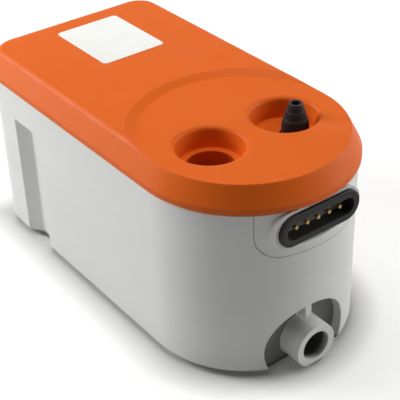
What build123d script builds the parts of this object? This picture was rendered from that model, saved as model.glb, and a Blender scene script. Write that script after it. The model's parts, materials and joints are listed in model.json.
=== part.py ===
from build123d import *
import os
from math import atan2, cos, degrees, radians, sin, sqrt

# Condensate pump: a closed tank with a lift-off lid. A deck across the rear of the tank
# carries a shaded-pole motor, whose shaft drives an impeller at the tank floor, and two
# float switches. Water falls in through the lid's inlet; the impeller pushes it through a
# hose and a check valve to the stepped adaptor that stands in the lid's second recess.
# Millimetres. Origin: centre of the footprint on the surface it stands on. +X towards the
# rounded front end, +Z up.

# ---------------------------------------------------------------- driving dimensions
# Tank
body_length = 232.0          # over the lid
body_width = 120.0           # over the lid
rim_height = 101.0           # top of the tank's rim
foot_lift = 2.5              # underside of the tank above the surface
tank_wall = 2.5
tank_floor = 3.5
tank_inset = 1.5             # lid overhang beyond the tank, all round
rear_corner = 18.9           # plan radius of the lid's rear corners
bottom_round = 3.0           # rounding of the tank's lower edge

# Wall bracket grooves in the tank's long sides
groove_setback = 46.5        # centre, ahead of the lid's rear edge
groove_width = 25.0          # at the side wall's surface
groove_floor_width = 9.0
groove_depth = 6.0
groove_round = 3.0
groove_drop = 19.0           # top of the groove below the rim
groove_wall = 2.5

# Low-level spigot in the front of the tank
spigot_height = 15.0         # axis above the surface
spigot_y = -3.5
spigot_lead = 2.5            # beyond the front of the lid
spigot_radius = 12.5
spigot_bore = 8.5            # radius
pocket_radius = 25.0
pocket_depth = 11.0          # from the front of the lid
pocket_wall = 2.5
pocket_rib = 4.0
pocket_rib_height = 7.0
spigot_room = 2.5            # round the spigot, for the wall of a hose

# Rubber feet
foot_radius = 7.0
foot_seat = 2.0              # depth of the feet's seats in the tank floor
foot_clearance = 0.2
foot_setback = 24.0          # from the lid's rear and side edges
foot_lead = 16.0             # ahead of the centre of the rounded front

# Lid
lid_gap = 1.2                # lid edge above the tank's rim
lid_lip = 3.0                # upright band along the lid's edge
lid_rise = 12.8              # height of the sloped skirt above the band
lid_slope = 6.6              # how far the skirt leans in
lid_crease = 5.0             # rounding between the skirt and the top
lid_wall = 2.4
front_drop = 2.0             # the inlet zone lies this much lower than the rear
step_radius = 57.0           # arc of the step, round the centre of the front end
step_ramp = 5.0              # width of the step's slope
flange_width = 6.0           # rim flange inside the lid's edge
flange_height = 2.5
locating_lip = 3.5           # how far the lid's lip reaches down into the tank
locating_lip_wall = 1.6
fit_gap = 0.4                # lid's lip to the tank's wall

# Recesses in the lid
port_lead = 4.0              # ahead of the centre of the rounded front
port_y = 24.0
recess_radius = 18.0         # at the top
recess_round = 2.5           # rounding of the recess's upper edge
recess_floor_radius = 16.2
recess_depth = 11.0
recess_wall = 2.0
inlet_radius = 12.5          # socket for a condensate pipe
inlet_length = 16.0
inlet_wall = 2.2

# Gasket
gasket_width = 2.2
gasket_height = 2.2

# Deck
deck_drop = 45.0             # underside of the deck below the rim
deck_thickness = 3.0
deck_front = 32.0
deck_gap = 0.5
screen_thickness = 2.0
ledge_width = 4.0
ledge_height = 5.0
post_radius = 4.5
post_setback = 18.0          # rear posts, from the lid's rear edge
post_front_x = 10.0
post_margin = 12.0           # posts, from the lid's side edges

# Motor
shaft_x = -36.0
shaft_radius = 2.5
running_gap = 0.05           # shaft to bearing, radial
mount_height = 15.0          # rubber mounts' height
stack_height = 18.0
stack_width = 60.0
stack_front = 22.0           # ahead of the shaft
window_back = 40.0           # coil window's rear edge, behind the shaft
window_length = 18.0
side_bar = 10.0              # stack bars beside the coil window
coil_leg = 12.0
air_gap = 0.4
rotor_radius = 14.9
coil_build = 9.0
bobbin_wall = 1.2
bobbin_gap = 0.2
bridge_height = 10.0
bridge_width = 15.0
bridge_thickness = 3.0
bearing_radius = 5.5
bearing_length = 8.0
fan_radius = 27.0
fan_gap = 2.5                # upper bridge to fan
shaft_end = 2.0              # shaft beyond the fan
fan_height = 5.5
fan_blades = 7
mount_radius = 4.8           # rubber mounts between deck and stack
mount_x_front = 15.0         # mount positions from the shaft
mount_x_rear = 30.0
mount_edge = 5.0             # mounts, from the stack's sides
screw_radius = 1.5
screw_head_radius = 2.8
screw_head_height = 2.0

# Pump casing
chamber_bottom = 13.0
chamber_height = 11.5
throat = 8.0                 # width of the scroll's outlet
casing_wall = 2.5
column_radius = 8.0
column_bore = 5.5
impeller_gap = 3.0           # impeller rim to the start of the scroll
impeller_hub = 5.0
vane_count = 6
vane_thickness = 1.4
plate_thickness = 1.5
eye_radius = 8.0
cover_thickness = 3.0
nozzle_bore = 4.0
nozzle_wall = 1.5
nozzle_reach = 42.0          # nozzle's end ahead of the shaft

# Discharge line: the port stands off centre in the right-hand recess
outlet_lead = 4.0            # adaptor ahead of its recess's centre
outlet_offset = 4.0          # adaptor outside its recess's centre
hose_wall = 1.8
hose_gap = 0.1
hose_bend = 22.0
hose_overlap = 11.0          # hose over the nozzle and over the valve's tail
hose_clearance = 1.0         # hose end to the valve's flange
clip_width = 6.0
clip_thickness = 0.8
valve_radius = 7.0
valve_flange_radius = 9.5
valve_flange_height = 3.0
arm_drop = 12.5              # underside of the arm below the recess
arm_thickness = 4.0
arm_width = 10.0
arm_ring = 11.0
ring_gap = 0.1
nut_height = 4.0
nut_flats = 19.0
seat_rise = 2.0              # seat above the arm's underside
valve_rise = 1.5             # valve body above the recess's floor
chamber_radius = 4.6
ball_radius = 3.6
seat_radius = 3.0
seat_gap = 0.05
spring_wire = 0.5
spring_turns = 4
outlet_hole_gap = 1.0        # valve to the hole in the lid's recess
seal_height = 1.0
adaptor_bore = 2.4
adaptor_spigot = 2.0
adaptor_base = 2.5
adaptor_steps = 3
adaptor_step_height = 4.2
adaptor_base_radius = 7.2
adaptor_top_radius = 4.4
barb_taper = 0.8

# Float switches
float_radius = 12.0
float_height = 18.0
float_travel = 6.0
rod_setback = 12.0           # float rods behind the deck's front edge
rod_radius = 2.0
guide_gap = 0.08
guide_radius = 4.0
guide_length = 3.0
float_margin = 28.0          # main float's rod, from the lid's side edge
float_spacing = 3.0          # between the two floats
float_clearance = 4.0        # lower float above the tank's floor
float_stop = 1.0             # upper float, when lifted, to its guide
lever_arm = 24.0             # pivot to float rod
lever_rise = 7.0             # lever above the deck
lever_thickness = 1.2
lever_width = 5.0
lever_overhang = 4.0
lever_gap = 0.3              # rod to lever
pin_radius = 1.0
plunger_arm = 8.0
plunger_radius = 1.2
switch_rise = 5.0            # switch above the lever's underside
switch_length = 20.0
switch_width = 6.4
switch_height = 10.5
switch_screw_radius = 1.1
plunger_gap = 0.15
cheek_thickness = 1.6
cheek_gap = 0.1
cheek_lead = 10.0            # bracket's front edge ahead of the pivot

# Connector in the front of the rim
socket_width = 51.0
socket_height = 17.5
socket_opening_width = 43.0
socket_opening_height = 9.5
socket_setback = 0.7         # connector face behind the front of the lid
bezel_lip = 2.0
bezel_depth = 9.0
bezel_inset = 2.0
boss_margin = 1.5
notch_half_width = 33.0
notch_depth = 26.0           # from the rim
notch_corner = 13.0
notch_gap = 0.3
saddle_flange = 3.0
saddle_thickness = 2.2
insert_thickness = 4.0
insert_gap = 0.15
pin_count = 5
pin_pitch = 7.0
contact_radius = 1.0
contact_length = 12.0

# Terminal block
terminal_length = 24.0
terminal_width = 14.0
terminal_height = 11.0
terminal_x = 8.0
terminal_y = 30.0
terminal_ways = 4


post_screw_depth = 12.0
spigot_face = body_length / 2 + spigot_lead
rib_height = 4.0
rib_thickness = 1.6
rib_setbacks = (24.0, 46.0)  # cross ribs, from the lid's rear edge
rib_front = -4.0
rib_margin = 28.0            # long ribs, from the lid's side edges
gasket_inset = tank_inset + (tank_wall - gasket_width) / 2
gasket_clearance = 0.1
flange_screw_circle = 12.0
flange_screw_count = 3
flange_radius = 16.0
flange_thickness = 3.0
screw_gap = 0.2
gusset_drop = 18.0
gusset_thickness = 3.0
tongue_length = 8.0
tongue_width = 1.5
breather_count = 3
breather_width = 5.0
breather_height = 14.0
window_bottom = 32.0
strainer_radius = 18.0
strainer_slots = 12
strainer_slot = 3.0
impeller_side_gap = 1.2
vane_sweep = 50.0
end_ring = 1.5
fan_plate = 1.2
fan_hub = 7.0
stack_corner = 4.0
winding_margin = 1.0
bridge_edge = 1.0            # bridge's feet, from the stack's sides
bridge_tab = 8.5
bridge_flank = 7.0
bearing_boss = 8.5
mount_band = 4.0
mount_waist = 3.4
clip_margin = 3.0
clip_ear = 2.5
seat_cone = 1.2
spring_radius = 2.6
plunger_offset = 5.5
switch_screw_margin = 4.0
cheek_foot = 5.0
float_round = 2.0
rod_foot = 1.5
lever_hub = 2.2
plunger_length = 5.5
bezel_shoulder = 6.0
contact_tail = 3.0
terminal_pitch = 5.5
terminal_well = 1.8
terminal_well_depth = 4.0
terminal_entry = 1.4

# ---------------------------------------------------------------- derived places
half_width = body_width / 2
nose_x = body_length / 2 - half_width          # centre of the rounded front
groove_x = -body_length / 2 + groove_setback
groove_top = rim_height - groove_drop
pocket_floor_x = body_length / 2 - pocket_depth
foot_rear_x = -body_length / 2 + foot_setback
foot_front_x = nose_x + foot_lead
foot_y = half_width - foot_setback
port_x = nose_x + port_lead
post_rear_x = -body_length / 2 + post_setback
post_y = half_width - post_margin
rib_places_x = (-body_length / 2 + rib_setbacks[0], -body_length / 2 + rib_setbacks[1], rib_front)
rib_y = half_width - rib_margin
lid_bottom = rim_height + lid_gap
lid_top = lid_bottom + lid_lip + lid_rise
front_top = lid_top - front_drop
slope_angle = degrees(atan2(lid_slope, lid_rise))
recess_floor = front_top - recess_depth
inner_inset = tank_inset + tank_wall
floor_top = foot_lift + tank_floor
deck_height = rim_height - deck_drop             # underside
deck_top = deck_height + deck_thickness
stack_bottom = deck_top + mount_height
stack_top = stack_bottom + stack_height
stack_mid = stack_bottom + stack_height / 2
leg_x = shaft_x - window_back - coil_leg / 2   # centre of the coil's leg
stack_rear = shaft_x - window_back - coil_leg
stack_nose = shaft_x + stack_front
window_width = stack_width - 2 * side_bar
mount_y = stack_width / 2 - mount_edge
bridge_foot = stack_width / 2 - bridge_edge
bridge_shoulder = bridge_foot - bridge_tab
bridge_knee = bridge_shoulder - bridge_flank
fan_bottom = stack_top + bridge_height + fan_gap
shaft_top = fan_bottom + fan_height + shaft_end
outlet_x = port_x + outlet_lead
outlet_y = port_y + outlet_offset
scroll_step = throat / 4
scroll_start = outlet_y - 1.5 * scroll_step    # radius of the scroll's first quarter
impeller_radius = scroll_start - impeller_gap
chamber_top = chamber_bottom + chamber_height
nozzle_height = chamber_bottom + chamber_height / 2
nozzle_radius = nozzle_bore + nozzle_wall
nozzle_end = shaft_x + nozzle_reach
hose_start = nozzle_end - hose_overlap
hose_inner = nozzle_radius + hose_gap
hose_outer = hose_inner + hose_wall
arm_height = recess_floor - recess_wall - arm_drop
screen_top = arm_height + 2 * arm_thickness
hose_top = arm_height - valve_flange_height - hose_clearance
valve_tail = hose_top - hose_overlap
valve_seat = arm_height + seat_rise
valve_top = recess_floor + valve_rise
main_float_y = -half_width + float_margin
alarm_float_y = main_float_y + 2 * float_radius + float_spacing
main_float_rest = floor_top + float_clearance
alarm_float_rest = deck_height - guide_length - float_stop - float_travel - float_height
rod_x = deck_front - rod_setback
pivot_x = rod_x - lever_arm
lever_height = deck_top + lever_rise             # underside of the lever at rest
switch_bottom = lever_height + switch_rise
cheek_front = pivot_x + cheek_lead
pin_z = lever_height + lever_thickness / 2
socket_z = rim_height - socket_height / 2 - boss_margin
socket_front = body_length / 2 - socket_setback
boss_face = socket_front - bezel_lip
notch_bottom = rim_height - notch_depth
shaft_axis = Axis((shaft_x, 0, 0), (0, 0, 1))
outlet_axis = Axis((outlet_x, outlet_y, 0), (0, 0, 1))

os.makedirs("parts", exist_ok=True)


def keep(builder, name):
    """Label a finished piece and write it as its own STEP file."""
    builder.part.label = name
    export_step(builder.part, f"parts/{name}.step")


def plan(inset):
    """The pump's D-shaped plan, drawn `inset` inside the lid's edge."""
    reach = half_width - inset
    rear = -body_length / 2 + inset
    with BuildSketch() as shape:
        with BuildLine():
            CenterArc((nose_x, 0), reach, -90, 180)
            Polyline((nose_x, reach), (rear, reach), (rear, -reach), (nose_x, -reach))
        make_face()
        fillet(shape.vertices().group_by(Axis.X)[0], max(rear_corner - inset, 1.0))
    return shape.sketch


def skirt(inset, top):
    """The lid's band and leaning skirt up to `top`, with a rounded crease."""
    band_top = lid_bottom + lid_lip
    with BuildPart() as form:
        with BuildSketch(Plane.XY.offset(lid_bottom)):
            add(plan(inset))
        extrude(amount=lid_lip)
        with BuildSketch(Plane.XY.offset(band_top)):
            add(plan(inset))
        extrude(amount=top - band_top, taper=slope_angle)
        fillet(form.edges().group_by(Axis.Z)[-1], lid_crease)
    return form.part


def lid_form(inset, lowering):
    """The lid's outer form, drawn in by `inset` and lowered by `lowering`."""
    with BuildPart() as form:
        add(skirt(inset, lid_top - lowering))
        with Locations((nose_x, 0, front_top - lowering)):
            Cone(
                step_radius - step_ramp / 2,
                step_radius + step_ramp / 2,
                front_drop,
                align=(Align.CENTER, Align.CENTER, Align.MIN),
                mode=Mode.SUBTRACT,
            )
        add(skirt(inset, front_top - lowering))
    return form.part


def cone_between(axis, bottom, top, bottom_radius, top_radius, mode=Mode.ADD):
    """A cone frustum or cylinder on an upright axis, between two heights."""
    height = top - bottom
    place = Location((axis.position.X, axis.position.Y, bottom))
    with Locations(place):
        if bottom_radius == top_radius:
            Cylinder(bottom_radius, height, align=(Align.CENTER, Align.CENTER, Align.MIN), mode=mode)
        else:
            Cone(bottom_radius, top_radius, height, align=(Align.CENTER, Align.CENTER, Align.MIN), mode=mode)


def groove_plan(margin):
    """Section of both bracket grooves in plan, each grown by `margin`."""
    surface = half_width - tank_inset
    with BuildSketch() as shape:
        for side in (-1, 1):
            with BuildLine():
                Polyline(
                    (groove_x - groove_width / 2 - margin, side * surface),
                    (groove_x - groove_floor_width / 2 - margin, side * (surface - groove_depth - margin)),
                    (groove_x + groove_floor_width / 2 + margin, side * (surface - groove_depth - margin)),
                    (groove_x + groove_width / 2 + margin, side * surface),
                    close=True,
                )
            make_face()
        fillet(shape.vertices().filter_by(lambda v: abs(v.Y) < surface - groove_depth / 2), groove_round)
    return shape.sketch


def notch_plan(margin):
    """U-shaped outline of the rim's notch in Y and Z, grown by `margin`."""
    bottom = notch_bottom - margin
    with BuildSketch() as shape:
        with Locations((0, (bottom + rim_height) / 2)):
            Rectangle(2 * (notch_half_width + margin), rim_height - bottom)
        fillet(shape.vertices().group_by(Axis.Y)[0], notch_corner + margin)
    return shape.sketch


def scroll_plan(margin):
    """The pump chamber's scroll round the shaft: four quarter arcs, each a step larger."""
    offset_y = scroll_step / 2
    start = scroll_start
    with BuildSketch() as shape:
        with BuildLine():
            CenterArc((offset_y, -offset_y), start, 90, -90)
            CenterArc((-offset_y, -offset_y), start + scroll_step, 0, -90)
            CenterArc((-offset_y, offset_y), start + 2 * scroll_step, -90, -90)
            CenterArc((offset_y, offset_y), start + 3 * scroll_step, 180, -90)
            Line((offset_y, offset_y + start + 3 * scroll_step), (offset_y, start - offset_y))
        make_face()
        if margin > 0:
            offset(amount=margin)
    return shape.sketch


def curved_blade(inner, outer, sweep_angle, thickness):
    """One blade in plan, an arc that leans back by `sweep_angle` from hub to rim."""
    middle = (inner + outer) / 2
    lag = radians(sweep_angle)
    with BuildSketch() as shape:
        with BuildLine():
            ThreePointArc(
                (inner, 0),
                (middle * cos(lag / 3), middle * sin(lag / 3)),
                (outer * cos(lag), outer * sin(lag)),
            )
        trace(line_width=thickness)
    return shape.sketch


# ---------------------------------------------------------------- tank
post_places = [(x, y) for x in (post_rear_x, post_front_x) for y in (-post_y, post_y)]
foot_places = {
    "foot_rear_left": (foot_rear_x, -foot_y),
    "foot_rear_right": (foot_rear_x, foot_y),
    "foot_front_left": (foot_front_x, -foot_y),
    "foot_front_right": (foot_front_x, foot_y),
}

with BuildPart() as tank_form:
    with BuildSketch(Plane.XY.offset(foot_lift)):
        add(plan(tank_inset))
    extrude(amount=rim_height - foot_lift)
    fillet(tank_form.edges().group_by(Axis.Z)[0], bottom_round)

with BuildPart() as pocket_block:
    add(tank_form.part)
    with BuildSketch(Plane.YZ.offset(pocket_floor_x - pocket_wall)):
        with Locations((spigot_y, spigot_height)):
            Circle(pocket_radius + pocket_wall)
    extrude(amount=body_length, mode=Mode.INTERSECT)

with BuildPart() as groove_block:
    add(tank_form.part)
    with BuildSketch(Plane.XY.offset(foot_lift)):
        add(groove_plan(groove_wall))
    extrude(amount=groove_top + groove_wall - foot_lift, mode=Mode.INTERSECT)

with BuildPart() as ledge_block:
    with BuildSketch(Plane.XY.offset(deck_height - ledge_height)):
        add(plan(inner_inset - tank_wall / 2))
        add(plan(inner_inset + ledge_width), mode=Mode.SUBTRACT)
        with Locations((deck_front + body_length / 2, 0)):
            Rectangle(body_length, body_width, mode=Mode.SUBTRACT)
    extrude(amount=ledge_height)

with BuildPart() as tank:
    add(tank_form.part)
    with BuildSketch(Plane.XY.offset(floor_top)):
        add(plan(inner_inset))
    extrude(amount=rim_height - floor_top, mode=Mode.SUBTRACT)
    # ledge and posts that carry the deck
    add(ledge_block.part)
    with BuildSketch(Plane.XY.offset(floor_top)):
        with Locations(*post_places):
            Circle(post_radius)
    extrude(amount=deck_height - floor_top)
    with BuildSketch(Plane.XY.offset(deck_height)):
        with Locations(*post_places):
            Circle(screw_radius)
    extrude(amount=-post_screw_depth, mode=Mode.SUBTRACT)
    # bracket grooves, with their channels on the inside
    add(groove_block.part)
    with BuildSketch(Plane.XY):
        add(groove_plan(0))
    extrude(amount=groove_top, mode=Mode.SUBTRACT)
    # round pocket with its rib, and the spigot that stands in it
    add(pocket_block.part)
    with BuildSketch(Plane.YZ.offset(pocket_floor_x)):
        with Locations((spigot_y, spigot_height)):
            Circle(pocket_radius)
    extrude(amount=body_length, mode=Mode.SUBTRACT)
    with BuildSketch(Plane.YZ.offset(pocket_floor_x)):
        with Locations((spigot_y, spigot_height + spigot_radius + spigot_room)):
            Rectangle(pocket_rib, pocket_radius - spigot_radius, align=(Align.CENTER, Align.MIN))
    extrude(amount=pocket_rib_height)
    with BuildSketch(Plane.YZ.offset(pocket_floor_x)):
        with Locations((spigot_y, spigot_height)):
            Circle(spigot_radius)
    extrude(amount=spigot_face - pocket_floor_x)
    with BuildSketch(Plane.YZ.offset(spigot_face)):
        with Locations((spigot_y, spigot_height)):
            Circle(spigot_bore)
    extrude(amount=-(spigot_face - pocket_floor_x + 2 * pocket_wall), mode=Mode.SUBTRACT)
    # notch in the rim for the connector
    with BuildSketch(Plane.YZ.offset(nose_x)):
        add(notch_plan(0))
    extrude(amount=half_width, mode=Mode.SUBTRACT)
    # seats for the feet
    with BuildSketch(Plane.XY.offset(foot_lift)):
        with Locations(*foot_places.values()):
            Circle(foot_radius + foot_clearance)
    extrude(amount=foot_seat, mode=Mode.SUBTRACT)
keep(tank, "tank")

# ---------------------------------------------------------------- rubber feet
for foot_name, place in foot_places.items():
    with BuildPart() as foot:
        with BuildSketch():
            with Locations(place):
                Circle(foot_radius)
        extrude(amount=foot_lift + foot_seat)
        chamfer(foot.edges().group_by(Axis.Z)[0], foot_lift / 3)
    keep(foot, foot_name)

# ---------------------------------------------------------------- lid
lip_inset = inner_inset + fit_gap
with BuildPart() as lid_ribs:
    add(lid_form(lid_wall / 2, lid_wall / 2))
    with BuildSketch(Plane.XY.offset(lid_top - lid_wall - rib_height)):
        for rib_x in rib_places_x:
            with Locations((rib_x, 0)):
                Rectangle(rib_thickness, body_width)
        with Locations((rib_front / 2 - body_length / 4, 0)):
            with GridLocations(0, 2 * rib_y, 1, 2):
                Rectangle(rib_front + body_length / 2, rib_thickness)
    extrude(amount=lid_wall + rib_height, mode=Mode.INTERSECT)

with BuildPart() as lid:
    add(lid_form(0, 0))
    add(lid_form(lid_wall, lid_wall), mode=Mode.SUBTRACT)
    add(lid_ribs.part)
    # rim flange with the gasket's groove, and the lip that enters the tank
    with BuildSketch(Plane.XY.offset(lid_bottom)):
        add(plan(0))
        add(plan(flange_width), mode=Mode.SUBTRACT)
    extrude(amount=flange_height)
    with BuildSketch(Plane.XY.offset(lid_bottom)):
        add(plan(gasket_inset - gasket_clearance))
        add(plan(gasket_inset + gasket_width + gasket_clearance), mode=Mode.SUBTRACT)
    extrude(amount=rim_height + gasket_height - lid_bottom, mode=Mode.SUBTRACT)
    with BuildSketch(Plane.XY.offset(lid_bottom)):
        add(plan(lip_inset))
        add(plan(lip_inset + locating_lip_wall), mode=Mode.SUBTRACT)
        with Locations((body_length / 2, 0)):
            Rectangle(body_length / 2, 2 * (notch_half_width + 2 * saddle_flange), mode=Mode.SUBTRACT)
    extrude(amount=-locating_lip)
    # two recesses; the left one ends in the inlet socket
    for side in (-1, 1):
        port = Axis((port_x, side * port_y, 0), (0, 0, 1))
        cone_between(port, recess_floor - recess_wall, front_top,
                     recess_floor_radius + recess_wall, recess_radius + recess_wall)
    inlet_axis = Axis((port_x, -port_y, 0), (0, 0, 1))
    cone_between(inlet_axis, recess_floor - inlet_length, recess_floor,
                 inlet_radius + inlet_wall, inlet_radius + inlet_wall)
    for side in (-1, 1):
        port = Axis((port_x, side * port_y, 0), (0, 0, 1))
        cone_between(port, recess_floor, front_top, recess_floor_radius, recess_radius, Mode.SUBTRACT)
        mouth = lid.edges(Select.LAST).group_by(Axis.Z)[-1]
        fillet(mouth, recess_round)
    cone_between(inlet_axis, recess_floor - inlet_length, recess_floor,
                 inlet_radius, inlet_radius, Mode.SUBTRACT)
    cone_between(outlet_axis, recess_floor - recess_wall, recess_floor,
                 valve_radius + outlet_hole_gap, valve_radius + outlet_hole_gap, Mode.SUBTRACT)
keep(lid, "lid")

# ---------------------------------------------------------------- rim gasket
with BuildPart() as rim_gasket:
    with BuildSketch(Plane.XY.offset(rim_height)):
        add(plan(gasket_inset))
        add(plan(gasket_inset + gasket_width), mode=Mode.SUBTRACT)
    extrude(amount=gasket_height)
keep(rim_gasket, "rim_gasket")

# ---------------------------------------------------------------- deck
mount_places = [
    (shaft_x + x, side * mount_y) for x in (mount_x_front, -mount_x_rear) for side in (-1, 1)
]
bolt_places = [(shaft_x, side * mount_y) for side in (-1, 1)]
float_ys = (main_float_y, alarm_float_y)

with BuildPart() as pump_deck:
    with BuildSketch(Plane.XY.offset(deck_height)):
        add(plan(inner_inset + deck_gap))
        with Locations((deck_front + body_length / 2, 0)):
            Rectangle(body_length, body_width, mode=Mode.SUBTRACT)
        add(groove_plan(groove_wall + deck_gap), mode=Mode.SUBTRACT)
        with Locations((shaft_x, 0)):
            Circle(column_bore, mode=Mode.SUBTRACT)
            with PolarLocations(flange_screw_circle, flange_screw_count):
                Circle(screw_radius, mode=Mode.SUBTRACT)
        with Locations(*mount_places):
            Circle(screw_radius, mode=Mode.SUBTRACT)
        with Locations(*post_places):
            Circle(screw_radius + screw_gap, mode=Mode.SUBTRACT)
    extrude(amount=deck_thickness)
    # splash screen across the front, with the arm that holds the check valve
    with BuildSketch(Plane.XY.offset(deck_height)):
        with Locations((deck_front - screen_thickness / 2, 0)):
            Rectangle(screen_thickness, 2 * (half_width - inner_inset - deck_gap))
    extrude(amount=screen_top - deck_height)
    with BuildSketch(Plane.XY.offset(arm_height)):
        with Locations(((deck_front + outlet_x) / 2, outlet_y)):
            Rectangle(outlet_x - deck_front + screen_thickness, arm_width)
        with Locations((outlet_x, outlet_y)):
            Circle(arm_ring)
            Circle(valve_radius + ring_gap, mode=Mode.SUBTRACT)
    extrude(amount=arm_thickness)
    with BuildSketch(Plane.XZ.offset(-outlet_y)):
        with BuildLine():
            Polyline(
                (deck_front, arm_height),
                (outlet_x - arm_ring, arm_height),
                (deck_front, arm_height - gusset_drop),
                close=True,
            )
        make_face()
    extrude(amount=gusset_thickness / 2, both=True)
    # guides of the float rods
    with BuildSketch(Plane.XY.offset(deck_height - guide_length)):
        with Locations(*[(rod_x, y) for y in float_ys]):
            Circle(guide_radius)
    extrude(amount=deck_thickness + 2 * guide_length)
    with BuildSketch(Plane.XY.offset(deck_height - guide_length)):
        with Locations(*[(rod_x, y) for y in float_ys]):
            Circle(rod_radius + guide_gap)
    extrude(amount=deck_thickness + 2 * guide_length, mode=Mode.SUBTRACT)
keep(pump_deck, "pump_deck")


def screws(name, places, head_bottom, length, rise=1):
    """Pan-head screws as one group; `rise` is -1 where the heads point down."""
    with BuildPart() as group:
        with BuildSketch(Plane.XY.offset(head_bottom)):
            with Locations(*places):
                Circle(screw_head_radius)
        extrude(amount=rise * screw_head_height)
        with BuildSketch(Plane.XY.offset(head_bottom)):
            with Locations(*places):
                Circle(screw_radius)
        extrude(amount=-rise * length)
    keep(group, name)


screws("deck_screws", post_places, deck_top, deck_thickness + post_screw_depth - screw_gap)

# ---------------------------------------------------------------- pump casing
with BuildPart() as pump_casing:
    with BuildSketch(Plane.XY.offset(chamber_bottom)):
        with Locations((shaft_x, 0)):
            add(scroll_plan(casing_wall))
    extrude(amount=chamber_height + casing_wall)
    with BuildSketch(Plane.YZ.offset(shaft_x)):
        with Locations((outlet_y, nozzle_height)):
            Circle(nozzle_radius)
    extrude(amount=nozzle_end - shaft_x)
    with BuildSketch(Plane.XY.offset(chamber_top)):
        with Locations((shaft_x, 0)):
            Circle(column_radius)
    extrude(amount=deck_height - chamber_top)
    with BuildSketch(Plane.XY.offset(deck_height)):
        with Locations((shaft_x, 0)):
            Circle(flange_radius)
            with PolarLocations(flange_screw_circle, flange_screw_count):
                Circle(screw_radius + screw_gap, mode=Mode.SUBTRACT)
    extrude(amount=-flange_thickness)
    # chamber, blunt tongue, outlet bore, shaft passage and breather windows
    with BuildSketch(Plane.XY.offset(chamber_bottom)):
        with Locations((shaft_x, 0)):
            add(scroll_plan(0))
        with Locations((shaft_x + scroll_step / 2, outlet_y - throat / 2)):
            Rectangle(tongue_length, tongue_width, align=(Align.MIN, Align.MAX))
            Rectangle(tongue_length, throat, align=(Align.MIN, Align.MIN))
    extrude(amount=chamber_height, mode=Mode.SUBTRACT)
    with BuildSketch(Plane.YZ.offset(shaft_x)):
        with Locations((outlet_y, nozzle_height)):
            Circle(nozzle_bore)
    extrude(amount=nozzle_end - shaft_x, mode=Mode.SUBTRACT)
    with BuildSketch(Plane.XY.offset(chamber_top)):
        with Locations((shaft_x, 0)):
            Circle(column_bore)
    extrude(amount=deck_height - chamber_top, mode=Mode.SUBTRACT)
    with BuildSketch(Plane.XY.offset(window_bottom)):
        with Locations((shaft_x, 0)):
            with PolarLocations(column_radius, breather_count):
                Rectangle(column_radius, breather_width)
    extrude(amount=breather_height, mode=Mode.SUBTRACT)
keep(pump_casing, "pump_casing")

with BuildPart() as suction_cover:
    with BuildSketch(Plane.XY.offset(chamber_bottom - cover_thickness)):
        with Locations((shaft_x, 0)):
            add(scroll_plan(casing_wall))
            Circle(eye_radius, mode=Mode.SUBTRACT)
    extrude(amount=cover_thickness)
    with BuildSketch(Plane.XY.offset(floor_top)):
        with Locations((shaft_x, 0)):
            Circle(strainer_radius)
            Circle(strainer_radius - casing_wall, mode=Mode.SUBTRACT)
            with PolarLocations(strainer_radius, strainer_slots):
                Rectangle(4 * casing_wall, strainer_slot, mode=Mode.SUBTRACT)
    extrude(amount=chamber_bottom - cover_thickness - floor_top)
keep(suction_cover, "suction_cover")

flange_screw_places = [
    (
        shaft_x + flange_screw_circle * cos(radians(360 * k / flange_screw_count)),
        flange_screw_circle * sin(radians(360 * k / flange_screw_count)),
    )
    for k in range(flange_screw_count)
]
screws("casing_screws", flange_screw_places, deck_height - flange_thickness,
       flange_thickness + deck_thickness, rise=-1)

# ---------------------------------------------------------------- impeller, shaft, rotor, fan
plate_bottom = chamber_top - impeller_side_gap - plate_thickness
vane_bottom = chamber_bottom + impeller_side_gap
with BuildPart() as impeller:
    with BuildSketch(Plane.XY.offset(plate_bottom)):
        with Locations((shaft_x, 0)):
            Circle(impeller_radius)
    extrude(amount=plate_thickness)
    with BuildSketch(Plane.XY.offset(vane_bottom)):
        with Locations((shaft_x, 0)):
            with PolarLocations(0, vane_count):
                add(curved_blade(impeller_hub - vane_thickness, impeller_radius - vane_thickness,
                                 vane_sweep, vane_thickness))
            Circle(impeller_hub)
    extrude(amount=plate_bottom - vane_bottom)
    with BuildSketch(Plane.XY.offset(vane_bottom)):
        with Locations((shaft_x, 0)):
            Circle(shaft_radius)
    extrude(amount=chamber_height, mode=Mode.SUBTRACT)
keep(impeller, "impeller")

with BuildPart() as motor_shaft:
    cone_between(shaft_axis, vane_bottom, shaft_top, shaft_radius, shaft_radius)
    chamfer(motor_shaft.edges().group_by(Axis.Z)[-1], shaft_radius / 4)
keep(motor_shaft, "motor_shaft")

with BuildPart() as rotor_core:
    cone_between(shaft_axis, stack_bottom, stack_top, rotor_radius, rotor_radius)
    cone_between(shaft_axis, stack_bottom - end_ring, stack_top + end_ring,
                 rotor_radius - end_ring, rotor_radius - end_ring)
    cone_between(shaft_axis, stack_bottom - end_ring, stack_top + end_ring,
                 shaft_radius, shaft_radius, Mode.SUBTRACT)
keep(rotor_core, "rotor_core")

with BuildPart() as cooling_fan:
    with BuildSketch(Plane.XY.offset(fan_bottom)):
        with Locations((shaft_x, 0)):
            Circle(fan_radius)
    extrude(amount=fan_plate)
    with BuildSketch(Plane.XY.offset(fan_bottom)):
        with Locations((shaft_x, 0)):
            with PolarLocations(0, fan_blades):
                add(curved_blade(fan_hub - fan_plate, fan_radius - fan_plate, vane_sweep, fan_plate))
            Circle(fan_hub)
    extrude(amount=fan_height)
    with BuildSketch(Plane.XY.offset(fan_bottom)):
        with Locations((shaft_x, 0)):
            Circle(shaft_radius)
    extrude(amount=fan_height, mode=Mode.SUBTRACT)
keep(cooling_fan, "cooling_fan")

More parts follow.
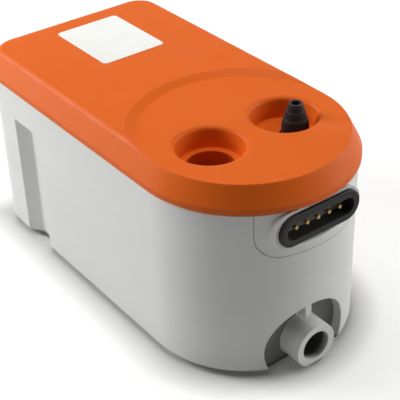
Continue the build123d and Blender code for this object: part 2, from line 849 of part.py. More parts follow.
# ---------------------------------------------------------------- motor stator
with BuildPart() as stator_core:
    with BuildSketch(Plane.XY.offset(stack_bottom)):
        with Locations(((stack_rear + stack_nose) / 2, 0)):
            RectangleRounded(stack_nose - stack_rear, stack_width, stack_corner)
        with Locations((shaft_x, 0)):
            Circle(rotor_radius + air_gap, mode=Mode.SUBTRACT)
            with Locations((window_length / 2 - window_back, 0)):
                Rectangle(window_length, window_width, mode=Mode.SUBTRACT)
        with Locations(*(mount_places + bolt_places)):
            Circle(screw_radius + screw_gap, mode=Mode.SUBTRACT)
    extrude(amount=stack_height)
keep(stator_core, "stator_core")

bobbin_inner = bobbin_gap
bobbin_outer = bobbin_gap + bobbin_wall
half_coil = window_width / 2 - bobbin_gap
with BuildPart() as coil_bobbin:
    with BuildSketch(Plane.XZ):
        with Locations((leg_x, stack_mid)):
            Rectangle(coil_leg + 2 * bobbin_outer, stack_height + 2 * bobbin_outer)
    extrude(amount=half_coil, both=True)
    for side in (-1, 1):
        with BuildSketch(Plane.XZ.offset(side * half_coil)):
            with Locations((leg_x, stack_mid)):
                Rectangle(coil_leg + 2 * (bobbin_outer + coil_build),
                          stack_height + 2 * (bobbin_outer + coil_build))
        extrude(amount=-side * bobbin_wall)
    with BuildSketch(Plane.XZ):
        with Locations((leg_x, stack_mid)):
            Rectangle(coil_leg + 2 * bobbin_inner, stack_height + 2 * bobbin_inner)
    extrude(amount=half_coil, both=True, mode=Mode.SUBTRACT)
keep(coil_bobbin, "coil_bobbin")

with BuildPart() as coil_winding:
    with BuildSketch(Plane.XZ):
        with Locations((leg_x, stack_mid)):
            RectangleRounded(coil_leg + 2 * (bobbin_outer + coil_build) - winding_margin,
                             stack_height + 2 * (bobbin_outer + coil_build) - winding_margin,
                             coil_build / 2)
            Rectangle(coil_leg + 2 * bobbin_outer, stack_height + 2 * bobbin_outer,
                      mode=Mode.SUBTRACT)
    extrude(amount=half_coil - bobbin_wall, both=True)
keep(coil_winding, "coil_winding")

with BuildPart() as lower_bridge:
    with BuildSketch(Plane.YZ.offset(shaft_x - bridge_width / 2)):
        with BuildLine():
            Polyline(
                (bridge_foot, stack_bottom),
                (bridge_foot, stack_bottom - bridge_thickness),
                (bridge_shoulder, stack_bottom - bridge_thickness),
                (bridge_knee, stack_bottom - bridge_height),
                (-bridge_knee, stack_bottom - bridge_height),
                (-bridge_shoulder, stack_bottom - bridge_thickness),
                (-bridge_foot, stack_bottom - bridge_thickness),
                (-bridge_foot, stack_bottom),
                (-bridge_shoulder, stack_bottom),
                (-bridge_knee, stack_bottom - bridge_height + bridge_thickness),
                (bridge_knee, stack_bottom - bridge_height + bridge_thickness),
                (bridge_shoulder, stack_bottom),
                close=True,
            )
        make_face()
    extrude(amount=bridge_width)
    cone_between(shaft_axis, stack_bottom - bridge_height, stack_bottom - bridge_height + bearing_length,
                 bearing_boss, bearing_boss)
    cone_between(shaft_axis, stack_bottom - bridge_height, stack_bottom - bridge_height + bearing_length,
                 bearing_radius, bearing_radius, Mode.SUBTRACT)
    with BuildSketch(Plane.XY.offset(stack_bottom)):
        with Locations(*bolt_places):
            Circle(screw_radius + screw_gap)
    extrude(amount=-bridge_thickness, mode=Mode.SUBTRACT)
keep(lower_bridge, "lower_bridge")

with BuildPart() as upper_bridge:
    mirror(lower_bridge.part, about=Plane.XY.offset(stack_mid))
keep(upper_bridge, "upper_bridge")

with BuildPart() as lower_bearing:
    cone_between(shaft_axis, stack_bottom - bridge_height, stack_bottom - bridge_height + bearing_length,
                 bearing_radius, bearing_radius)
    cone_between(shaft_axis, stack_bottom - bridge_height, stack_bottom - bridge_height + bearing_length,
                 shaft_radius + running_gap, shaft_radius + running_gap, Mode.SUBTRACT)
keep(lower_bearing, "lower_bearing")

with BuildPart() as upper_bearing:
    mirror(lower_bearing.part, about=Plane.XY.offset(stack_mid))
keep(upper_bearing, "upper_bearing")

with BuildPart() as vibration_mounts:
    with BuildSketch(Plane.XY.offset(deck_top)):
        with Locations(*mount_places):
            Circle(mount_radius)
            Circle(screw_radius + screw_gap, mode=Mode.SUBTRACT)
    extrude(amount=stack_bottom - deck_top)
    with BuildSketch(Plane.XY.offset(deck_top + mount_band)):
        with Locations(*mount_places):
            Circle(mount_radius)
            Circle(mount_waist, mode=Mode.SUBTRACT)
    extrude(amount=stack_bottom - deck_top - 2 * mount_band, mode=Mode.SUBTRACT)
keep(vibration_mounts, "vibration_mounts")

screws("motor_screws", mount_places, stack_top, stack_top - deck_height)
screws("bridge_bolts", bolt_places, stack_top + bridge_thickness,
       stack_height + 2 * bridge_thickness)

# ---------------------------------------------------------------- discharge hose and clips
with BuildPart() as discharge_hose:
    with BuildLine():
        FilletPolyline(
            (hose_start, outlet_y, nozzle_height),
            (outlet_x, outlet_y, nozzle_height),
            (outlet_x, outlet_y, hose_top),
            radius=hose_bend,
        )
    with BuildSketch(Plane.YZ.offset(hose_start)):
        with Locations((outlet_y, nozzle_height)):
            Circle(hose_outer)
            Circle(hose_inner, mode=Mode.SUBTRACT)
    sweep()
keep(discharge_hose, "discharge_hose")

with BuildPart() as lower_hose_clip:
    with BuildSketch(Plane.YZ.offset(hose_start + clip_margin)):
        with Locations((outlet_y, nozzle_height)):
            Circle(hose_outer + clip_thickness)
            with Locations((hose_outer + clip_thickness, 0)):
                Rectangle(2 * clip_ear, clip_ear)
            Circle(hose_outer, mode=Mode.SUBTRACT)
    extrude(amount=clip_width)
keep(lower_hose_clip, "lower_hose_clip")

with BuildPart() as upper_hose_clip:
    with BuildSketch(Plane.XY.offset(hose_top - clip_margin)):
        with Locations((outlet_x, outlet_y)):
            Circle(hose_outer + clip_thickness)
            with Locations((hose_outer + clip_thickness, 0)):
                Rectangle(2 * clip_ear, clip_ear)
            Circle(hose_outer, mode=Mode.SUBTRACT)
    extrude(amount=-clip_width)
keep(upper_hose_clip, "upper_hose_clip")

# ---------------------------------------------------------------- check valve
with BuildPart() as valve_body:
    cone_between(outlet_axis, valve_tail, arm_height, nozzle_radius, nozzle_radius)
    cone_between(outlet_axis, arm_height - valve_flange_height, arm_height,
                 valve_flange_radius, valve_flange_radius)
    cone_between(outlet_axis, arm_height, valve_top, valve_radius, valve_radius)
    cone_between(outlet_axis, valve_tail, valve_seat, seat_radius, seat_radius, Mode.SUBTRACT)
    cone_between(outlet_axis, valve_seat, valve_seat + seat_cone, seat_radius, chamber_radius,
                 Mode.SUBTRACT)
    cone_between(outlet_axis, valve_seat + seat_cone, valve_top, chamber_radius, chamber_radius,
                 Mode.SUBTRACT)
keep(valve_body, "valve_body")

with BuildPart() as valve_nut:
    with BuildSketch(Plane.XY.offset(arm_height + arm_thickness)):
        with Locations((outlet_x, outlet_y)):
            RegularPolygon(nut_flats / 2, 6, major_radius=False)
            Circle(valve_radius, mode=Mode.SUBTRACT)
    extrude(amount=nut_height)
keep(valve_nut, "valve_nut")

ball_height = valve_seat + sqrt(ball_radius**2 - seat_radius**2) + seat_gap
with BuildPart() as valve_ball:
    with Locations((outlet_x, outlet_y, ball_height)):
        Sphere(ball_radius)
keep(valve_ball, "valve_ball")

spring_bottom = ball_height + sqrt(ball_radius**2 - spring_radius**2) + spring_wire
spring_top = valve_top - adaptor_spigot - spring_wire / 2 - seat_gap
with BuildPart() as valve_spring:
    with BuildLine() as coil_line:
        Helix((spring_top - spring_bottom) / spring_turns, spring_top - spring_bottom, spring_radius,
              center=(outlet_x, outlet_y, spring_bottom))
    with BuildSketch(Plane(coil_line.line @ 0, z_dir=coil_line.line % 0)):
        Circle(spring_wire / 2)
    sweep()
keep(valve_spring, "valve_spring")

with BuildPart() as adaptor_seal:
    with BuildSketch(Plane.XY.offset(valve_top)):
        with Locations((outlet_x, outlet_y)):
            Circle(valve_radius)
            Circle(chamber_radius, mode=Mode.SUBTRACT)
    extrude(amount=seal_height)
keep(adaptor_seal, "adaptor_seal")

adaptor_bottom = valve_top + seal_height
with BuildPart() as hose_adaptor:
    cone_between(outlet_axis, valve_top - adaptor_spigot, adaptor_bottom,
                 chamber_radius - ring_gap, chamber_radius - ring_gap)
    cone_between(outlet_axis, adaptor_bottom, adaptor_bottom + adaptor_base,
                 adaptor_base_radius, adaptor_base_radius)
    for step in range(adaptor_steps):
        step_bottom = adaptor_bottom + adaptor_base + step * adaptor_step_height
        shrink = (adaptor_base_radius - adaptor_top_radius) * step / (adaptor_steps - 1)
        barb_radius = adaptor_base_radius - shrink
        cone_between(outlet_axis, step_bottom, step_bottom + adaptor_step_height,
                     barb_radius, barb_radius - barb_taper)
    cone_between(outlet_axis, valve_top - adaptor_spigot,
                 adaptor_bottom + adaptor_base + adaptor_steps * adaptor_step_height,
                 adaptor_bore, adaptor_bore, Mode.SUBTRACT)
keep(hose_adaptor, "hose_adaptor")

# ---------------------------------------------------------------- float switches
plunger_x = pivot_x + plunger_arm
switch_mid_x = plunger_x - plunger_offset
switch_rear = switch_mid_x - switch_length / 2
cheek_inner = switch_width / 2 + cheek_gap
cheek_outer = cheek_inner + cheek_thickness
cheek_mid = (switch_rear + cheek_front) / 2
switch_screw_xs = (switch_rear + switch_screw_margin, switch_mid_x + switch_screw_margin)
switch_screw_z = switch_bottom + switch_height / 2


def float_switch(name, y, rest):
    """A float on its rod, the lever it lifts and the switch that the lever presses."""
    with BuildPart() as body:
        with BuildSketch(Plane.XY.offset(rest)):
            with Locations((rod_x, y)):
                Circle(float_radius)
        extrude(amount=float_height)
        fillet(body.edges(), float_round)
        with BuildSketch(Plane.XY.offset(rest)):
            with Locations((rod_x, y)):
                Circle(rod_radius)
        extrude(amount=float_height, mode=Mode.SUBTRACT)
    keep(body, f"{name}_float")

    with BuildPart() as rod:
        with BuildSketch(Plane.XY.offset(rest - rod_foot)):
            with Locations((rod_x, y)):
                Circle(2 * rod_radius)
        extrude(amount=rod_foot)
        with BuildSketch(Plane.XY.offset(rest)):
            with Locations((rod_x, y)):
                Circle(rod_radius)
        extrude(amount=lever_height - lever_gap - rest)
        fillet(rod.edges().group_by(Axis.Z)[-1], rod_radius / 2)
    keep(rod, f"{name}_rod")

    with BuildPart() as lever:
        with BuildSketch(Plane.XY.offset(lever_height)):
            with Locations((pivot_x, y)):
                Rectangle(lever_arm + lever_overhang, lever_width, align=(Align.MIN, Align.CENTER))
        extrude(amount=lever_thickness)
        with BuildSketch(Plane.XZ.offset(-y)):
            with Locations((pivot_x, pin_z)):
                Circle(lever_hub)
        extrude(amount=lever_width / 2, both=True)
        with BuildSketch(Plane.XZ.offset(-y)):
            with Locations((pivot_x, pin_z)):
                Circle(pin_radius + running_gap)
        extrude(amount=lever_width / 2, both=True, mode=Mode.SUBTRACT)
    keep(lever, f"{name}_lever")

    with BuildPart() as pin:
        with BuildSketch(Plane.XZ.offset(-y)):
            with Locations((pivot_x, pin_z)):
                Circle(pin_radius)
        extrude(amount=cheek_outer, both=True)
    keep(pin, f"{name}_lever_pin")

    with BuildPart() as plunger:
        with BuildSketch(Plane.XY.offset(lever_height + lever_thickness + plunger_gap)):
            with Locations((plunger_x, y)):
                Circle(plunger_radius)
        extrude(amount=plunger_length)
    keep(plunger, f"{name}_plunger")

    with BuildPart() as switch:
        with BuildSketch(Plane.XY.offset(switch_bottom)):
            with Locations((switch_mid_x, y)):
                RectangleRounded(switch_length, switch_width, cheek_gap * 5)
        extrude(amount=switch_height)
        with BuildSketch(Plane.XY.offset(switch_bottom)):
            with Locations((plunger_x, y)):
                Circle(plunger_radius + guide_gap)
        extrude(amount=plunger_length, mode=Mode.SUBTRACT)
        with BuildSketch(Plane.XZ.offset(-y)):
            with Locations(*[(x, switch_screw_z) for x in switch_screw_xs]):
                Circle(switch_screw_radius)
        extrude(amount=switch_width, both=True, mode=Mode.SUBTRACT)
    keep(switch, f"{name}_switch")

    with BuildPart() as bracket:
        with BuildSketch(Plane.XY.offset(deck_top)):
            with Locations((cheek_mid, y)):
                Rectangle(cheek_front - switch_rear, 2 * (cheek_outer + cheek_foot))
        extrude(amount=cheek_thickness)
        for side in (-1, 1):
            with BuildSketch(Plane.XY.offset(deck_top)):
                with Locations((cheek_mid, y + side * (cheek_inner + cheek_outer) / 2)):
                    Rectangle(cheek_front - switch_rear, cheek_thickness)
            extrude(amount=switch_bottom + switch_height - deck_top)
        with BuildSketch(Plane.XZ.offset(-y)):
            with Locations((pivot_x, pin_z)):
                Circle(pin_radius)
            with Locations(*[(x, switch_screw_z) for x in switch_screw_xs]):
                Circle(switch_screw_radius)
        extrude(amount=2 * cheek_outer, both=True, mode=Mode.SUBTRACT)
    keep(bracket, f"{name}_switch_bracket")


float_switch("main", main_float_y, main_float_rest)
float_switch("alarm", alarm_float_y, alarm_float_rest)

with BuildPart() as switch_screws:
    for y in float_ys:
        with BuildSketch(Plane.XZ.offset(-y + cheek_outer)):
            with Locations(*[(x, switch_screw_z) for x in switch_screw_xs]):
                Circle(2 * switch_screw_radius)
        extrude(amount=switch_screw_radius)
        with BuildSketch(Plane.XZ.offset(-y)):
            with Locations(*[(x, switch_screw_z) for x in switch_screw_xs]):
                Circle(switch_screw_radius)
        extrude(amount=cheek_outer, both=True)
keep(switch_screws, "switch_screws")

# ---------------------------------------------------------------- connector
saddle_inner = inner_inset + notch_gap + saddle_thickness
with BuildPart() as saddle_plug:
    with BuildSketch(Plane.XY.offset(notch_bottom - saddle_flange)):
        add(plan(tank_inset))
        add(plan(saddle_inner), mode=Mode.SUBTRACT)
    extrude(amount=rim_height - notch_bottom + saddle_flange)
    with BuildSketch(Plane.YZ.offset(nose_x)):
        add(notch_plan(-notch_gap))
    extrude(amount=half_width, mode=Mode.INTERSECT)

with BuildPart() as saddle_back:
    with BuildSketch(Plane.XY.offset(notch_bottom - saddle_flange)):
        add(plan(inner_inset + notch_gap))
        add(plan(saddle_inner), mode=Mode.SUBTRACT)
    extrude(amount=rim_height - notch_bottom + saddle_flange)
    with BuildSketch(Plane.YZ.offset(nose_x)):
        add(notch_plan(saddle_flange))
    extrude(amount=half_width, mode=Mode.INTERSECT)

with BuildPart() as connector_housing:
    add(saddle_plug.part)
    add(saddle_back.part)
    with BuildSketch(Plane.YZ.offset(boss_face)):
        with Locations((0, socket_z)):
            SlotOverall(socket_width + 2 * boss_margin, socket_height + 2 * boss_margin)
    extrude(amount=-(bezel_depth + bezel_shoulder))
    with BuildSketch(Plane.YZ.offset(boss_face)):
        with Locations((0, socket_z)):
            SlotOverall(socket_width + 2 * boss_margin, socket_height + 2 * boss_margin)
    extrude(amount=bezel_depth, mode=Mode.SUBTRACT)
    with BuildSketch(Plane.YZ.offset(boss_face)):
        with Locations((0, socket_z)):
            SlotOverall(socket_width - 2 * bezel_inset, socket_height - 2 * bezel_inset)
    extrude(amount=-bezel_depth, mode=Mode.SUBTRACT)
    with BuildSketch(Plane.YZ.offset(boss_face)):
        with Locations((0, socket_z)):
            SlotOverall(socket_opening_width - 2 * bezel_inset, socket_opening_height - 2 * bezel_inset)
    extrude(amount=-body_length / 4, mode=Mode.SUBTRACT)
keep(connector_housing, "connector_housing")

with BuildPart() as connector_bezel:
    with BuildSketch(Plane.YZ.offset(boss_face)):
        with Locations((0, socket_z)):
            SlotOverall(socket_width, socket_height)
    extrude(amount=bezel_lip)
    fillet(connector_bezel.edges().group_by(Axis.X)[-1], bezel_lip / 2)
    with BuildSketch(Plane.YZ.offset(boss_face)):
        with Locations((0, socket_z)):
            SlotOverall(socket_width - 2 * bezel_inset, socket_height - 2 * bezel_inset)
    extrude(amount=-bezel_depth)
    with BuildSketch(Plane.YZ.offset(socket_front)):
        with Locations((0, socket_z)):
            SlotOverall(socket_opening_width, socket_opening_height)
    extrude(amount=-(bezel_depth + bezel_lip), mode=Mode.SUBTRACT)
keep(connector_bezel, "connector_bezel")

insert_rear = boss_face - bezel_depth
with BuildPart() as socket_insert:
    with BuildSketch(Plane.YZ.offset(insert_rear)):
        with Locations((0, socket_z)):
            SlotOverall(socket_opening_width - 2 * insert_gap, socket_opening_height - 2 * insert_gap)
            with GridLocations(pin_pitch, 0, pin_count, 1):
                Circle(contact_radius, mode=Mode.SUBTRACT)
    extrude(amount=insert_thickness)
keep(socket_insert, "socket_insert")

with BuildPart() as contact_pins:
    with BuildSketch(Plane.YZ.offset(insert_rear - contact_tail)):
        with Locations((0, socket_z)):
            with GridLocations(pin_pitch, 0, pin_count, 1):
                Circle(contact_radius)
    extrude(amount=contact_length)
keep(contact_pins, "contact_pins")

# ---------------------------------------------------------------- terminal block
with BuildPart() as terminal_block:
    with BuildSketch(Plane.XY.offset(deck_top)):
        with Locations((terminal_x, terminal_y)):
            Rectangle(terminal_length, terminal_width)
    extrude(amount=terminal_height)
    fillet(terminal_block.edges().filter_by(Axis.Z), 1)
    with BuildSketch(Plane.XY.offset(deck_top + terminal_height)):
        with Locations((terminal_x, terminal_y)):
            with GridLocations(terminal_pitch, 0, terminal_ways, 1):
                Circle(terminal_well)
    extrude(amount=-terminal_well_depth, mode=Mode.SUBTRACT)
    with BuildSketch(Plane.XZ.offset(-terminal_y)):
        with Locations((terminal_x, deck_top + terminal_height / 3)):
            with GridLocations(terminal_pitch, 0, terminal_ways, 1):
                Circle(terminal_entry)
    extrude(amount=terminal_width, both=True, mode=Mode.SUBTRACT)
keep(terminal_block, "terminal_block")
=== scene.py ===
"""Looks of the condensate pump: materials, the bare sticker, light, floor and camera."""

import json
import math

import bmesh
import bpy
from mathutils import Matrix, Vector

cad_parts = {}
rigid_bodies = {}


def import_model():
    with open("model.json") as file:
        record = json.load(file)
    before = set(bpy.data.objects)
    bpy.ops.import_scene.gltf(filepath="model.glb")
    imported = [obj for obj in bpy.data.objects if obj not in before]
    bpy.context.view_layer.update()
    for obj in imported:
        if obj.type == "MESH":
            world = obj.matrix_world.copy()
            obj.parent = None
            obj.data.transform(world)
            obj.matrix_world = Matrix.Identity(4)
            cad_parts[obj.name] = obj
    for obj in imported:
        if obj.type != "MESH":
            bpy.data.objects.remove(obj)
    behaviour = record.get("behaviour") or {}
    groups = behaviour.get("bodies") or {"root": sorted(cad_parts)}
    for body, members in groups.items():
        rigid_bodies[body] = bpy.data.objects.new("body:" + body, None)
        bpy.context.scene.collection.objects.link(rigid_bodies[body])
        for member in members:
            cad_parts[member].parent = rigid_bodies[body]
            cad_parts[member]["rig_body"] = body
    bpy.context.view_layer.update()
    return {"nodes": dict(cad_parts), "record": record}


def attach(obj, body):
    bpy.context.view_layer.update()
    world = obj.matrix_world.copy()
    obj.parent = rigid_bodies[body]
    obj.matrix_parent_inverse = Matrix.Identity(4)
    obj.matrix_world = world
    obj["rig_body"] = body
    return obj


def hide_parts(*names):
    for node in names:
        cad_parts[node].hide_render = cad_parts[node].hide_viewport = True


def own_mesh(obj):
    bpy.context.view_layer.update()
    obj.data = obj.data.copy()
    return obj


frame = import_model()
nodes = frame["nodes"]


# ---------------------------------------------------------------- materials
def linear(rgb):
    """Colour given as 0 to 255 display values, as the linear values that shaders take."""
    out = []
    for value in rgb:
        c = value / 255.0
        out.append(c / 12.92 if c <= 0.04045 else ((c + 0.055) / 1.055) ** 2.4)
    return (*out, 1.0)


def scaled(colour, factor):
    return (*(min(1.0, c * factor) for c in colour[:3]), 1.0)


class Nodes:
    """A material's node tree with the few steps that every finish here shares."""

    def __init__(self, name):
        self.material = bpy.data.materials.new(name)
        self.material.use_nodes = True
        self.tree = self.material.node_tree
        self.tree.nodes.clear()
        self.out = self.tree.nodes.new("ShaderNodeOutputMaterial")
        self.shader = self.tree.nodes.new("ShaderNodeBsdfPrincipled")
        self.tree.links.new(self.shader.outputs[0], self.out.inputs["Surface"])
        self.place = self.tree.nodes.new("ShaderNodeTexCoord").outputs["Object"]

    def add(self, kind, **values):
        node = self.tree.nodes.new(kind)
        for key, value in values.items():
            setattr(node, key, value)
        return node

    def link(self, a, b):
        self.tree.links.new(a, b)

    def stretch(self, scale):
        mapping = self.add("ShaderNodeMapping")
        mapping.inputs["Scale"].default_value = scale
        self.link(self.place, mapping.inputs["Vector"])
        return mapping.outputs["Vector"]

    def noise(self, scale, detail=3.0, rough=0.5, vector=None):
        node = self.add("ShaderNodeTexNoise")
        node.inputs["Scale"].default_value = scale
        node.inputs["Detail"].default_value = detail
        node.inputs["Roughness"].default_value = rough
        self.link(vector or self.place, node.inputs["Vector"])
        return node.outputs["Fac"]

    def wave(self, direction, scale, distortion):
        node = self.add("ShaderNodeTexWave", bands_direction=direction, wave_profile="SIN")
        node.inputs["Scale"].default_value = scale
        node.inputs["Distortion"].default_value = distortion
        self.link(self.place, node.inputs["Vector"])
        return node.outputs["Fac"]

    def along(self, axis):
        """The object's own coordinate along X, Y or Z."""
        node = self.add("ShaderNodeSeparateXYZ")
        self.link(self.place, node.inputs[0])
        return node.outputs[axis]

    def from_axis(self, point):
        """Distance from the line through the point that runs along X."""
        shift = self.add("ShaderNodeVectorMath", operation="SUBTRACT")
        self.link(self.place, shift.inputs[0])
        shift.inputs[1].default_value = point
        flat = self.add("ShaderNodeVectorMath", operation="MULTIPLY")
        self.link(shift.outputs[0], flat.inputs[0])
        flat.inputs[1].default_value = (0.0, 1.0, 1.0)
        size = self.add("ShaderNodeVectorMath", operation="LENGTH")
        self.link(flat.outputs[0], size.inputs[0])
        return size.outputs["Value"]

    def shifted(self, value, amount):
        node = self.add("ShaderNodeMath", operation="ADD")
        self.link(value, node.inputs[0])
        node.inputs[1].default_value = amount
        return node.outputs[0]

    def times(self, a, b):
        node = self.add("ShaderNodeMath", operation="MULTIPLY")
        self.link(a, node.inputs[0])
        self.link(b, node.inputs[1])
        return node.outputs[0]

    def remap(self, value, a, b, to_a, to_b):
        node = self.add("ShaderNodeMapRange")
        node.inputs["From Min"].default_value = a
        node.inputs["From Max"].default_value = b
        node.inputs["To Min"].default_value = to_a
        node.inputs["To Max"].default_value = to_b
        self.link(value, node.inputs["Value"])
        return node.outputs["Result"]

    def mix(self, factor, a, b):
        node = self.add("ShaderNodeMix", data_type="RGBA")
        self.link(factor, node.inputs["Factor"])
        for socket, value in ((node.inputs[6], a), (node.inputs[7], b)):
            if isinstance(value, tuple):
                socket.default_value = value
            else:
                self.link(value, socket)
        return node.outputs[2]

    def relief(self, steps, edge=0.0):
        """Bumps laid over each other: (height, strength, depth in metres)."""
        normal = None
        if edge > 0:
            soft = self.add("ShaderNodeBevel", samples=6)
            soft.inputs["Radius"].default_value = edge
            normal = soft.outputs["Normal"]
        for height, strength, depth in steps:
            bump = self.add("ShaderNodeBump")
            bump.inputs["Strength"].default_value = strength
            bump.inputs["Distance"].default_value = depth
            self.link(height, bump.inputs["Height"])
            if normal is not None:
                self.link(normal, bump.inputs["Normal"])
            normal = bump.outputs["Normal"]
        if normal is not None:
            self.link(normal, self.shader.inputs["Normal"])


# Grain per metre of plastic, how softly its edges shade (metres), and how much paler rubbed edges are
PLASTIC_GRAIN = 1400.0
PLASTIC_EDGE = 0.0006
RUBBED_PALER = 0.35
# Brush marks of metal, and how softly its edges shade (metres)
BRUSH_SCALE = 220.0
BRUSH_STRETCH = (1.0, 1.0, 40.0)
METAL_EDGE = 0.0002
RUBBER_ROUGH = 0.75


def moulded(name, colour, rough, grain_strength=0.12, mottle=0.05, wear=0.10, gloss=0.35, shade_masks=None):
    """Moulded plastic: fine grain, slight flow marks, rubbed edges, a dusty unevenness and any painted
    shade masks passed in.
    """
    m = Nodes(name)
    fine = m.noise(PLASTIC_GRAIN, 2.0, 0.6)
    flow = m.noise(9.0, 4.0, 0.55, m.stretch((1.0, 1.6, 3.0)))
    dust = m.noise(60.0, 5.0, 0.65)
    base = m.mix(m.remap(flow, 0.3, 0.7, 0.0, 1.0),
                 scaled(colour, 1 - mottle), scaled(colour, 1 + mottle))
    corner = m.add("ShaderNodeNewGeometry").outputs["Pointiness"]
    rubbed = m.remap(corner, 0.52, 0.60, 0.0, wear)
    pale = (*(c + (1 - c) * RUBBED_PALER for c in colour[:3]), 1.0)
    surface = m.mix(rubbed, base, pale)
    # painted shade: each mask darkens the colour where shade falls
    for mask, tone in shade_masks(m) if shade_masks else ():
        surface = m.mix(mask, surface, tone)
    m.link(surface, m.shader.inputs["Base Color"])
    m.link(m.remap(dust, 0.3, 0.7, rough - 0.05, rough + 0.07), m.shader.inputs["Roughness"])
    m.shader.inputs["Specular IOR Level"].default_value = gloss
    m.relief([(fine, grain_strength, 0.00008), (flow, 0.05, 0.0004)], PLASTIC_EDGE)
    return m.material


def metal(name, colour, rough):
    """Plated or turned metal with fine directional marks and slight staining."""
    m = Nodes(name)
    lines = m.noise(BRUSH_SCALE, 4.0, 0.6, m.stretch(BRUSH_STRETCH))
    stain = m.noise(35.0, 4.0, 0.6)
    m.link(m.mix(m.remap(stain, 0.35, 0.7, 0.0, 1.0), colour, scaled(colour, 0.72)),
           m.shader.inputs["Base Color"])
    m.shader.inputs["Metallic"].default_value = 1.0
    m.link(m.remap(lines, 0.3, 0.7, rough - 0.06, rough + 0.12), m.shader.inputs["Roughness"])
    m.relief([(lines, 0.15, 0.00005)], METAL_EDGE)
    return m.material


def rubber(name, colour):
    """Matt black rubber with a fine bloom."""
    m = Nodes(name)
    bloom = m.noise(70.0, 5.0, 0.6)
    fine = m.noise(1800.0, 2.0, 0.5)
    m.link(m.mix(m.remap(bloom, 0.4, 0.75, 0.0, 0.6), colour, scaled(colour, 2.2)),
           m.shader.inputs["Base Color"])
    m.link(m.remap(bloom, 0.3, 0.7, RUBBER_ROUGH - 0.08, RUBBER_ROUGH + 0.1), m.shader.inputs["Roughness"])
    m.relief([(fine, 0.25, 0.0001)], 0.0004)
    return m.material


def wound_copper(name):
    """Enamelled wire in tight turns that run across the bobbin."""
    m = Nodes(name)
    turns = m.wave("Y", 260.0, 0.6)
    tint = m.noise(45.0, 3.0, 0.5)
    dark = linear((92, 38, 20))
    bright = linear((196, 98, 52))
    m.link(m.mix(turns, dark, bright), m.shader.inputs["Base Color"])
    m.shader.inputs["Metallic"].default_value = 0.7
    m.link(m.remap(tint, 0.3, 0.7, 0.26, 0.42), m.shader.inputs["Roughness"])
    m.relief([(turns, 0.9, 0.00025)])
    return m.material


def laminated(name):
    """Stack of thin steel sheets, seen as fine lines round the edge."""
    m = Nodes(name)
    sheets = m.wave("Z", 320.0, 0.15)
    stain = m.noise(40.0, 4.0, 0.6)
    steel = linear((146, 146, 150))
    base = m.mix(m.remap(stain, 0.35, 0.7, 0.0, 1.0), steel, scaled(steel, 0.7))
    m.link(m.mix(m.remap(sheets, 0.0, 0.25, 0.75, 0.0), base, linear((60, 58, 58))),
           m.shader.inputs["Base Color"])
    m.shader.inputs["Metallic"].default_value = 0.85
    m.link(m.remap(stain, 0.3, 0.7, 0.38, 0.55), m.shader.inputs["Roughness"])
    m.relief([(sheets, 0.6, 0.0001)])
    return m.material


def foam(name):
    """Closed-cell float foam with small pores."""
    m = Nodes(name)
    cells = m.add("ShaderNodeTexVoronoi", feature="F1")
    cells.inputs["Scale"].default_value = 1100.0
    m.link(m.place, cells.inputs["Vector"])
    stain = m.noise(30.0, 4.0, 0.6)
    m.link(m.mix(m.remap(stain, 0.4, 0.75, 0.0, 1.0), linear((226, 224, 214)), linear((196, 190, 172))),
           m.shader.inputs["Base Color"])
    m.shader.inputs["Roughness"].default_value = 0.85
    m.relief([(cells.outputs["Distance"], 0.5, 0.0003)], 0.0008)
    return m.material


ORANGE = linear((224, 99, 17))
GREY = linear((228, 229, 227))

mounts = {mount["name"]: mount for mount in frame["record"]["mounts"]}


# Heights of the painted shade along the tank's bottom edge, and the reach of the painted shade into the
# inlet bore and the pocket, in metres
FOOT_SHADE_TOP = 0.0050
FOOT_SHADE_LOW = 0.0030
BORE_SHADE_START = 0.0065
BORE_SHADE_FADE = 0.0045
SHADE_END = 0.0130
SHADE_END_SOFTNESS = 0.001
# Round pocket at the foot of the front: its radius, half its rib and how dark its painted shade is
POCKET_RADIUS = 0.0250
RIB_HALF = 0.0020
POCKET_SHADE = 0.80
# Colour of the painted shade at the tank's foot, in the pocket and in the inlet bore
PAINTED_SHADE_TONE = linear((44, 44, 42))


def tank_painted_shade(m):
    """Painted shade along the tank's bottom edge, in the round pocket and inside the low inlet."""
    bore = mounts["low_inlet_bore"]
    bore_radius = bore["dims"]["r_mm"] / 1000
    spigot = mounts["low_inlet_spigot"]
    spigot_radius = spigot["dims"]["r_mm"] / 1000
    face = spigot["pos_m"][0]
    radial = m.from_axis(tuple(bore["pos_m"]))
    ahead = m.along("X")

    # painted shade: darker towards the tank's bottom edge, where the contact shadow falls
    foot_shade = m.remap(m.along("Z"), FOOT_SHADE_TOP, FOOT_SHADE_LOW, 0.0, 0.85)
    past_end = m.remap(ahead, face - SHADE_END, face - SHADE_END + SHADE_END_SOFTNESS, 0.0, 1.0)

    aside = m.add("ShaderNodeMath", operation="ABSOLUTE")
    m.link(m.shifted(m.along("Y"), -bore["pos_m"][1]), aside.inputs[0])
    beside_rib = m.remap(aside.outputs[0], RIB_HALF * 1.03, RIB_HALF * 1.10, 0.0, 1.0)
    # painted shade inside the round pocket around the spigot, beside its rib
    ring = m.times(m.remap(radial, spigot_radius * 1.01, spigot_radius * 1.03, 0.0, POCKET_SHADE),
                   m.remap(radial, POCKET_RADIUS * 1.002, POCKET_RADIUS * 0.99, 0.0, 1.0))
    pocket_shade = m.times(m.times(ring, beside_rib), past_end)

    # painted shade inside the inlet bore, fading in from its mouth
    inside = m.remap(radial, bore_radius * 1.02, bore_radius * 1.01, 0.0, 1.0)
    depth = m.remap(ahead, face + BORE_SHADE_START, face + BORE_SHADE_START - BORE_SHADE_FADE, 0.0, 0.93)
    bore_shade = m.times(m.times(inside, depth), past_end)
    return (foot_shade, PAINTED_SHADE_TONE), (pocket_shade, PAINTED_SHADE_TONE), (bore_shade, PAINTED_SHADE_TONE)


